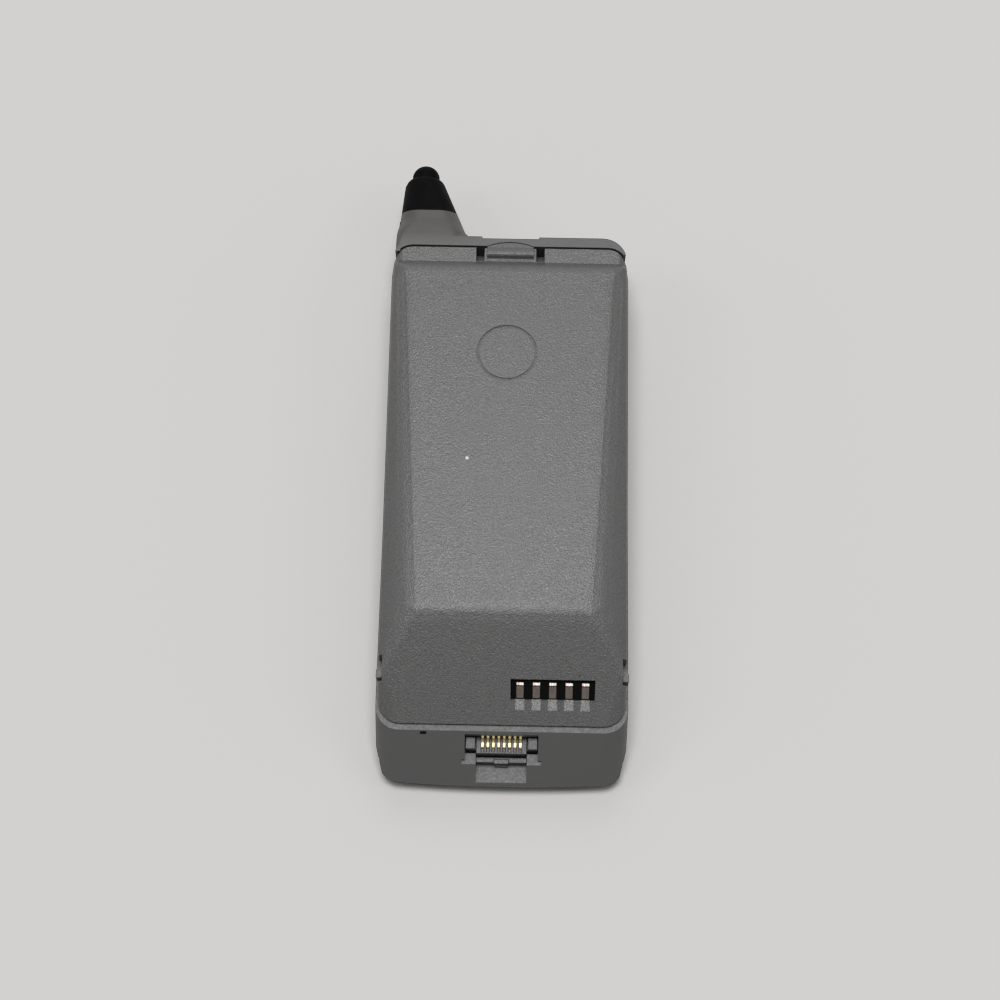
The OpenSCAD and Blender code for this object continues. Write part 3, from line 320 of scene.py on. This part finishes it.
def board_mask(name):
    """Green solder mask with copper tracks that show through."""
    s = Shader(name)
    tracks = s.node("ShaderNodeTexBrick")
    s.link(s.coord, tracks.inputs["Vector"])
    tracks.inputs["Scale"].default_value = 260
    tracks.inputs["Color1"].default_value = rgb(0.015, 0.12, 0.045)
    tracks.inputs["Color2"].default_value = rgb(0.02, 0.15, 0.05)
    tracks.inputs["Mortar"].default_value = rgb(0.07, 0.2, 0.06)
    return s.principled(
        Base_Color=tracks.outputs["Color"],
        Roughness=s.spread(s.noise(1 * MM), 0.3, 0.7, 0.22, 0.38),
        Normal=s.bump(tracks.outputs["Fac"], 0.02 * MM, 0.5),
    )


def display_glass(name):
    """Dark smoked window with faint wipe marks."""
    s = Shader(name)
    wipe = s.noise(3 * MM, 4.0)
    base = s.mix(s.spread(wipe, 0.4, 0.7), rgb(0.02, 0.026, 0.022), rgb(0.03, 0.036, 0.03))
    return s.principled(
        Base_Color=base,
        Roughness=s.spread(wipe, 0.3, 0.7, 0.06, 0.16),
        Alpha=0.72,
        Coat_Weight=0.6,
        Coat_Roughness=0.04,
    )


def cell_sleeve(name):
    s = Shader(name)
    fine = s.noise(0.8 * MM, 3.0)
    wrinkle = s.noise(5 * MM, 2.0)
    base = s.mix(s.spread(wrinkle, 0.3, 0.7), rgb(0.04, 0.12, 0.27), rgb(0.06, 0.16, 0.34))
    return s.principled(
        Base_Color=base,
        Roughness=s.spread(fine, 0.3, 0.7, 0.25, 0.42),
        Normal=s.bump(wrinkle, 0.1 * MM, 0.4),
    )


GREY = (0.081, 0.081, 0.081)
MATERIALS = {
    "housing_plastic": grained_plastic("housing_plastic", GREY, 0.5, warm_from=(-7 * MM, BODY_Y + 65 * MM)),
    "pack_plastic": grained_plastic("pack_plastic", scaled(GREY, 1.02), 0.32, 0.3 * MM, 0.11 * MM, 0.3,
                                    wear_and_shade=pack_wear_and_shade),
    "flip_plastic": grained_plastic("flip_plastic", scaled(GREY, 0.96), 0.5),
    "antenna_rubber": rubber("antenna_rubber", (0.002, 0.002, 0.0025), 0.6, 0.04),
    "brass": metal("brass", rgb(0.72, 0.55, 0.26), 0.3),
    "nylon": grained_plastic("nylon", (0.72, 0.71, 0.66), 0.45, 0.3 * MM, 0.01 * MM),
    "steel_wire": metal("steel_wire", rgb(0.66, 0.66, 0.67), 0.22),
    "window": display_glass("window"),
    "display": grained_plastic("display", (0.2, 0.25, 0.15), 0.35, 0.25 * MM, 0.004 * MM),
    "speaker": grained_plastic("speaker", (0.03, 0.03, 0.03), 0.5, 0.4 * MM),
    "seal": rubber("seal", (0.015, 0.015, 0.015), 0.7),
    "microphone_can": metal("microphone_can", rgb(0.7, 0.7, 0.7), 0.3),
    "board": board_mask("board"),
    "chips": grained_plastic("chips", (0.018, 0.018, 0.02), 0.45, 0.2 * MM, 0.01 * MM),
    "shield": metal("shield", rgb(0.62, 0.62, 0.6), 0.35, 0.5 * MM),
    "domes": metal("domes", rgb(0.66, 0.66, 0.66), 0.28),
    "connector_plastic": grained_plastic("connector_plastic", (0.034, 0.033, 0.038), 0.45, 0.2 * MM,
                                         0.01 * MM),
    "gold_plate": metal("gold_plate", rgb(0.9, 0.74, 0.4), 0.48),
    "screws": metal("screws", rgb(0.5, 0.5, 0.5), 0.32),
    "cell_wrap": cell_sleeve("cell_wrap"),
    "nickel": metal("nickel", rgb(0.16, 0.135, 0.125), 0.32),
    "carrier_plastic": grained_plastic("carrier_plastic", (0.002, 0.002, 0.002), 0.6, 0.3 * MM, 0.01 * MM,
                                       gloss=0.05),
    "key_rubber": rubber("key_rubber", (0.3, 0.3, 0.295), 0.5),
    "side_key_rubber": rubber("side_key_rubber", (0.1, 0.1, 0.1), 0.55),
}


# Edges that bend more than this stay sharp, and those past the second angle are rounded
SHARP_EDGE = math.radians(20)
ROUNDED_EDGE = math.radians(30)
# Points this close are welded, and faces that bend less than this are joined
WELD_REACH = 0.002 * MM
FLAT_BEND = math.radians(0.6)


def edge_shader():
    """Node group that shades faces smooth up to the sharp edges."""
    group = bpy.data.node_groups.new("smooth_by_angle", "GeometryNodeTree")
    group.interface.new_socket("Geometry", in_out="INPUT", socket_type="NodeSocketGeometry")
    group.interface.new_socket("Geometry", in_out="OUTPUT", socket_type="NodeSocketGeometry")
    start = group.nodes.new("NodeGroupInput")
    end = group.nodes.new("NodeGroupOutput")
    shape = start.outputs["Geometry"]
    for stored in ("custom_normal", "sharp_edge", "sharp_face"):
        plain = group.nodes.new("GeometryNodeRemoveAttribute")
        plain.inputs["Name"].default_value = stored
        group.links.new(shape, plain.inputs["Geometry"])
        shape = plain.outputs["Geometry"]
    faces = group.nodes.new("GeometryNodeSetShadeSmooth")
    faces.domain = "FACE"
    edges = group.nodes.new("GeometryNodeSetShadeSmooth")
    edges.domain = "EDGE"
    edges.inputs["Shade Smooth"].default_value = False
    angle = group.nodes.new("GeometryNodeInputMeshEdgeAngle")
    over = group.nodes.new("FunctionNodeCompare")
    over.data_type = "FLOAT"
    over.operation = "GREATER_THAN"
    over.inputs["B"].default_value = SHARP_EDGE
    group.links.new(angle.outputs["Unsigned Angle"], over.inputs["A"])
    group.links.new(shape, faces.inputs["Geometry"])
    group.links.new(faces.outputs["Geometry"], edges.inputs["Geometry"])
    group.links.new(over.outputs["Result"], edges.inputs["Selection"])
    group.links.new(edges.outputs["Geometry"], end.inputs["Geometry"])
    return group


SMOOTH = edge_shader()
# Edge rounding of each node, in metres; the rest take the last value
ROUNDING = {
    "rear_housing": 0.35 * MM,
    "front_housing": 0.3 * MM,
    "battery_cover": 0.3 * MM,
    "flip_cover": 0.3 * MM,
    "antenna_boot": 0.5 * MM,
    "battery_latch": 0.35 * MM,
    "accessory_connector": 0.1 * MM,
    "charge_contacts": 0.06 * MM,
    "connector_pins": 0.05 * MM,
    "": 0.12 * MM,
}


def shade_smooth(obj):
    smooth = obj.modifiers.new("smooth", "NODES")
    smooth.node_group = SMOOTH
    level = obj.modifiers.new("level", "WEIGHTED_NORMAL")
    level.keep_sharp = True


def dress(node, obj, slot):
    """Gives a CAD node its material, rounded edges and smooth shading."""
    mesh = obj.data
    mesh.materials.clear()
    mesh.materials.append(MATERIALS[slot])
    weld = obj.modifiers.new("weld", "WELD")
    weld.merge_threshold = WELD_REACH
    flat = obj.modifiers.new("flat", "DECIMATE")
    flat.decimate_type = "DISSOLVE"
    flat.angle_limit = FLAT_BEND
    bevel = obj.modifiers.new("bevel", "BEVEL")
    bevel.width = ROUNDING.get(node, ROUNDING[""])
    bevel.segments = 2
    bevel.limit_method = "ANGLE"
    bevel.angle_limit = ROUNDED_EDGE
    bevel.use_clamp_overlap = True
    shade_smooth(obj)


INK = grained_plastic("legend_ink", (0.62, 0.62, 0.6), 0.5, 0.2 * MM, 0.004 * MM)
# Half thickness of the print and height of its letters
LEGEND_T = 0.04 * MM
LEGEND_SIZE = 4.6 * MM


def key_face(key):
    """Middle of a key's outer face."""
    low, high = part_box(key)
    return Vector(((low[0] + high[0]) / 2, (low[1] + high[1]) / 2, low[2]))


def on_key(obj, key):
    """Lays a printed piece on a key's face, read from the front of the phone."""
    obj.location = key_face(key)
    obj.rotation_euler = (0, math.pi, 0)
    bpy.context.scene.collection.objects.link(obj)
    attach(obj, key + "_cap")


def key_text(key, glyph):
    curve = bpy.data.curves.new("legend_" + key, "FONT")
    curve.body = glyph
    curve.size = LEGEND_SIZE
    curve.align_x = "CENTER"
    curve.align_y = "CENTER"
    curve.extrude = LEGEND_T
    curve.materials.append(INK)
    on_key(bpy.data.objects.new("legend_" + key, curve), key)


def ring(radius, width, start, stop, steps=20):
    """Outline of an arc with the given width, between two angles in degrees."""
    turn = [math.radians(start + (stop - start) * i / steps) for i in range(steps + 1)]
    outer = [((radius + width / 2) * math.cos(a), (radius + width / 2) * math.sin(a)) for a in turn]
    inner = [((radius - width / 2) * math.cos(a), (radius - width / 2) * math.sin(a)) for a in reversed(turn)]
    return outer + inner


# Signs of the function keys, as outlines in millimetres
MARKS = {
    "key_recall": [[(0, 1.6), (-1.5, -0.1), (-0.5, -0.1), (-0.5, -1.5), (0.5, -1.5), (0.5, -0.1),
                    (1.5, -0.1)]],
    "key_store": [[(0, -1.6), (1.5, 0.1), (0.5, 0.1), (0.5, 1.5), (-0.5, 1.5), (-0.5, 0.1), (-1.5, 0.1)]],
    "key_clear": [[(-1.5, -1.1), (-1.1, -1.5), (0, -0.4), (1.1, -1.5), (1.5, -1.1), (0.4, 0), (1.5, 1.1),
                   (1.1, 1.5), (0, 0.4), (-1.1, 1.5), (-1.5, 1.1), (-0.4, 0)]],
    "key_power": [ring(1.5, 0.45, 125, 415), [(-0.22, 0.3), (0.22, 0.3), (0.22, 1.9), (-0.22, 1.9)]],
    "key_end": [[(-1.3, -1.3), (1.3, -1.3), (1.3, 1.3), (-1.3, 1.3)]],
    "key_send": [[(-1.2, -1.5), (1.6, 0), (-1.2, 1.5)]],
}


def key_mark(key, shapes):
    mesh = bpy.data.meshes.new("legend_" + key)
    points = []
    faces = []
    for outline in shapes:
        faces.append(tuple(range(len(points), len(points) + len(outline))))
        points += [(x * MM, y * MM, 0) for x, y in outline]
    mesh.from_pydata(points, [], faces)
    mesh.materials.append(INK)
    obj = bpy.data.objects.new("legend_" + key, mesh)
    thick = obj.modifiers.new("thick", "SOLIDIFY")
    thick.thickness = 2 * LEGEND_T
    thick.offset = 0
    on_key(obj, key)


# Fairing between the top band and the antenna's foot, in millimetres. Its south end lies on the band's horn,
# beside the rounded corner of the pack's room; past ROOM_Y it spans the foot, and from TURN_Y on it turns into
# the foot's own form. FOOT and BOOT are the sections that the foot tapers between, HORN is the band's end.
FAIR_Y = (51.6, 62.6)
ROOM_Y = 53.47
ROOM_CORNER = (-24.5, 48.55)
ROOM_R = 4.9
TURN_Y = 55.5
FOOT = {"y": 56.35, "left": -28.7, "right": -10.5, "top": 19.6, "r": 5.0}
BOOT = {"y": 72.15, "left": -27.7, "right": -16.9, "top": 16.4, "r": 5.4}
HORN = {"left": -28.78, "top": 20.03, "r": 1.1}
# How far the fairing stands off the solids, how low it reaches, and how far its lower edges are tucked in
SKIN = 0.02
FAIR_LOW = 13.4
TUCK = 0.3
# Steps of its shoulders, and of its length on the horn and on the foot
ARC_STEPS = 8
HORN_STEPS = 8
FOOT_STEPS = 24


def smooth_step(value, low, high):
    t = min(1.0, max(0.0, (value - low) / (high - low)))
    return t * t * (3 - 2 * t)


def between(a, b, t):
    return a + (b - a) * t


def fairing_section(y, past_room):
    """Closed outline in X and Z of the fairing at one Y."""
    t = max(0.0, (y - FOOT["y"]) / (BOOT["y"] - FOOT["y"]))
    foot = {key: between(FOOT[key], BOOT[key], t) for key in FOOT}
    turned = smooth_step(y, TURN_Y, FAIR_Y[1])
    left = between(HORN["left"], foot["left"] - SKIN, turned)
    top = between(HORN["top"], foot["top"] + SKIN, turned)
    r_left = between(HORN["r"], foot["r"], smooth_step(y, ROOM_Y, FAIR_Y[1]))
    right = foot["right"] + SKIN
    r_right = foot["r"]
    if not past_room:
        reach = math.sqrt(ROOM_R ** 2 - (min(y, ROOM_Y - SKIN) - ROOM_CORNER[1]) ** 2)
        right = ROOM_CORNER[0] - reach - SKIN
        r_right = SKIN
    turn = [math.pi / 2 * i / ARC_STEPS for i in range(ARC_STEPS + 1)]
    outline = [(foot["left"] + TUCK, FAIR_LOW), (left, FAIR_LOW + 1)]
    outline += [(left + r_left * (1 - math.cos(a)), top - r_left * (1 - math.sin(a))) for a in turn]
    outline += [(right - r_right * (1 - math.sin(a)), top - r_right * (1 - math.cos(a))) for a in turn]
    outline.append((right - TUCK, FAIR_LOW))
    return [(x * MM, y * MM, z * MM) for x, z in outline]


def make_fairing():
    """Smooth skin over the end of the band and the root of the antenna's foot."""
    rows = [fairing_section(between(FAIR_Y[0], ROOM_Y, i / HORN_STEPS), False) for i in range(HORN_STEPS + 1)]
    rows += [fairing_section(between(ROOM_Y, FAIR_Y[1], i / FOOT_STEPS), True) for i in range(FOOT_STEPS + 1)]
    count = len(rows[0])
    points = [point for row in rows for point in row]
    faces = [tuple(range(count)), tuple(reversed(range(len(points) - count, len(points))))]
    for i in range(len(rows) - 1):
        for j in range(count):
            k = (j + 1) % count
            faces.append((i * count + k, i * count + j, (i + 1) * count + j, (i + 1) * count + k))
    mesh = bpy.data.meshes.new("foot_fairing")
    mesh.from_pydata(points, [], faces)
    mesh.materials.append(MATERIALS["housing_plastic"])
    fairing = bpy.data.objects.new("foot_fairing", mesh)
    bpy.context.scene.collection.objects.link(fairing)
    shade_smooth(fairing)
    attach(fairing, "handset")


FLOOR_HALF = 3.0


def make_floor():
    mesh = bpy.data.meshes.new("floor")
    corners = [(-1, -1), (1, -1), (1, 1), (-1, 1)]
    mesh.from_pydata([(FLOOR_HALF * x, FLOOR_HALF * y, 0) for x, y in corners], [], [(0, 1, 2, 3)])
    floor = bpy.data.objects.new("floor", mesh)
    bpy.context.scene.collection.objects.link(floor)
    s = Shader("table")
    fibre = s.noise(1.2 * MM, 4.0, 0.65)
    cloud = s.noise(60 * MM, 3.0)
    base = s.mix(s.spread(fibre, 0.3, 0.7), scaled(PALE, 0.985), scaled(PALE, 1.012))
    base = s.mix(s.spread(cloud, 0.3, 0.7, 0.0, 0.6), base, scaled(PALE, 0.97))
    mesh.materials.append(s.principled(Base_Color=base, Roughness=0.85, Normal=s.bump(fibre, 0.05 * MM, 0.4)))
    floor.is_shadow_catcher = True
    floor.visible_shadow = False


# Strength of the light from all round
WORLD_LIGHT = 0.14


def make_world():
    """Soft light from all round; the camera and mirrored or refracted views see the pale background."""
    world = bpy.data.worlds.new("world")
    bpy.context.scene.world = world
    world.use_nodes = True
    tree = world.node_tree
    tree.nodes.clear()
    out = tree.nodes.new("ShaderNodeOutputWorld")
    seen = tree.nodes.new("ShaderNodeBackground")
    seen.inputs["Color"].default_value = PALE + (1.0,)
    light = tree.nodes.new("ShaderNodeBackground")
    light.inputs["Color"].default_value = rgb(1.0, 0.995, 0.985)
    light.inputs["Strength"].default_value = WORLD_LIGHT
    path = tree.nodes.new("ShaderNodeLightPath")
    shown = path.outputs["Is Camera Ray"]
    for kind in ("Is Transmission Ray", "Is Glossy Ray"):
        either = tree.nodes.new("ShaderNodeMath")
        either.operation = "MAXIMUM"
        tree.links.new(shown, either.inputs[0])
        tree.links.new(path.outputs[kind], either.inputs[1])
        shown = either.outputs["Value"]
    mix = tree.nodes.new("ShaderNodeMixShader")
    tree.links.new(shown, mix.inputs["Fac"])
    tree.links.new(light.outputs["Background"], mix.inputs[1])
    tree.links.new(seen.outputs["Background"], mix.inputs[2])
    tree.links.new(mix.outputs["Shader"], out.inputs["Surface"])


# Soft panels aimed at the origin: place, width and height in metres, watts
LAMPS = {
    "sky_panel": ((-0.03, 0.12, 1.1), (0.5, 0.38), 9.2),
    "north_panel": ((0.0, 1.05, 0.75), (0.9, 0.4), 3.0),
    "left_panel": ((-0.9, 0.0, 0.65), (0.5, 0.7), 1.2),
    "right_panel": ((0.9, 0.0, 0.65), (0.5, 0.7), 1.0),
}


def soft_lamp(name, place, size, watts):
    data = bpy.data.lights.new(name, "AREA")
    data.shape = "RECTANGLE"
    data.size = size[0]
    data.size_y = size[1]
    data.energy = watts
    lamp = bpy.data.objects.new(name, data)
    lamp.location = place
    lamp.rotation_euler = (-Vector(place)).to_track_quat("-Z", "Y").to_euler()
    bpy.context.scene.collection.objects.link(lamp)


make_camera()
make_floor()
make_world()
for name, (place, size, watts) in LAMPS.items():
    soft_lamp(name, place, size, watts)

for part in frame["record"]["subparts"]:
    dress(part["node"], NODES[part["node"]], part["material_slot"])
make_fairing()
for digit in "1234567890":
    key_text("key_" + digit, digit)
key_text("key_star", "*")
key_text("key_hash", "#")
for key, shapes in MARKS.items():
    key_mark(key, shapes)

bpy.context.scene.view_settings.view_transform = "Standard"
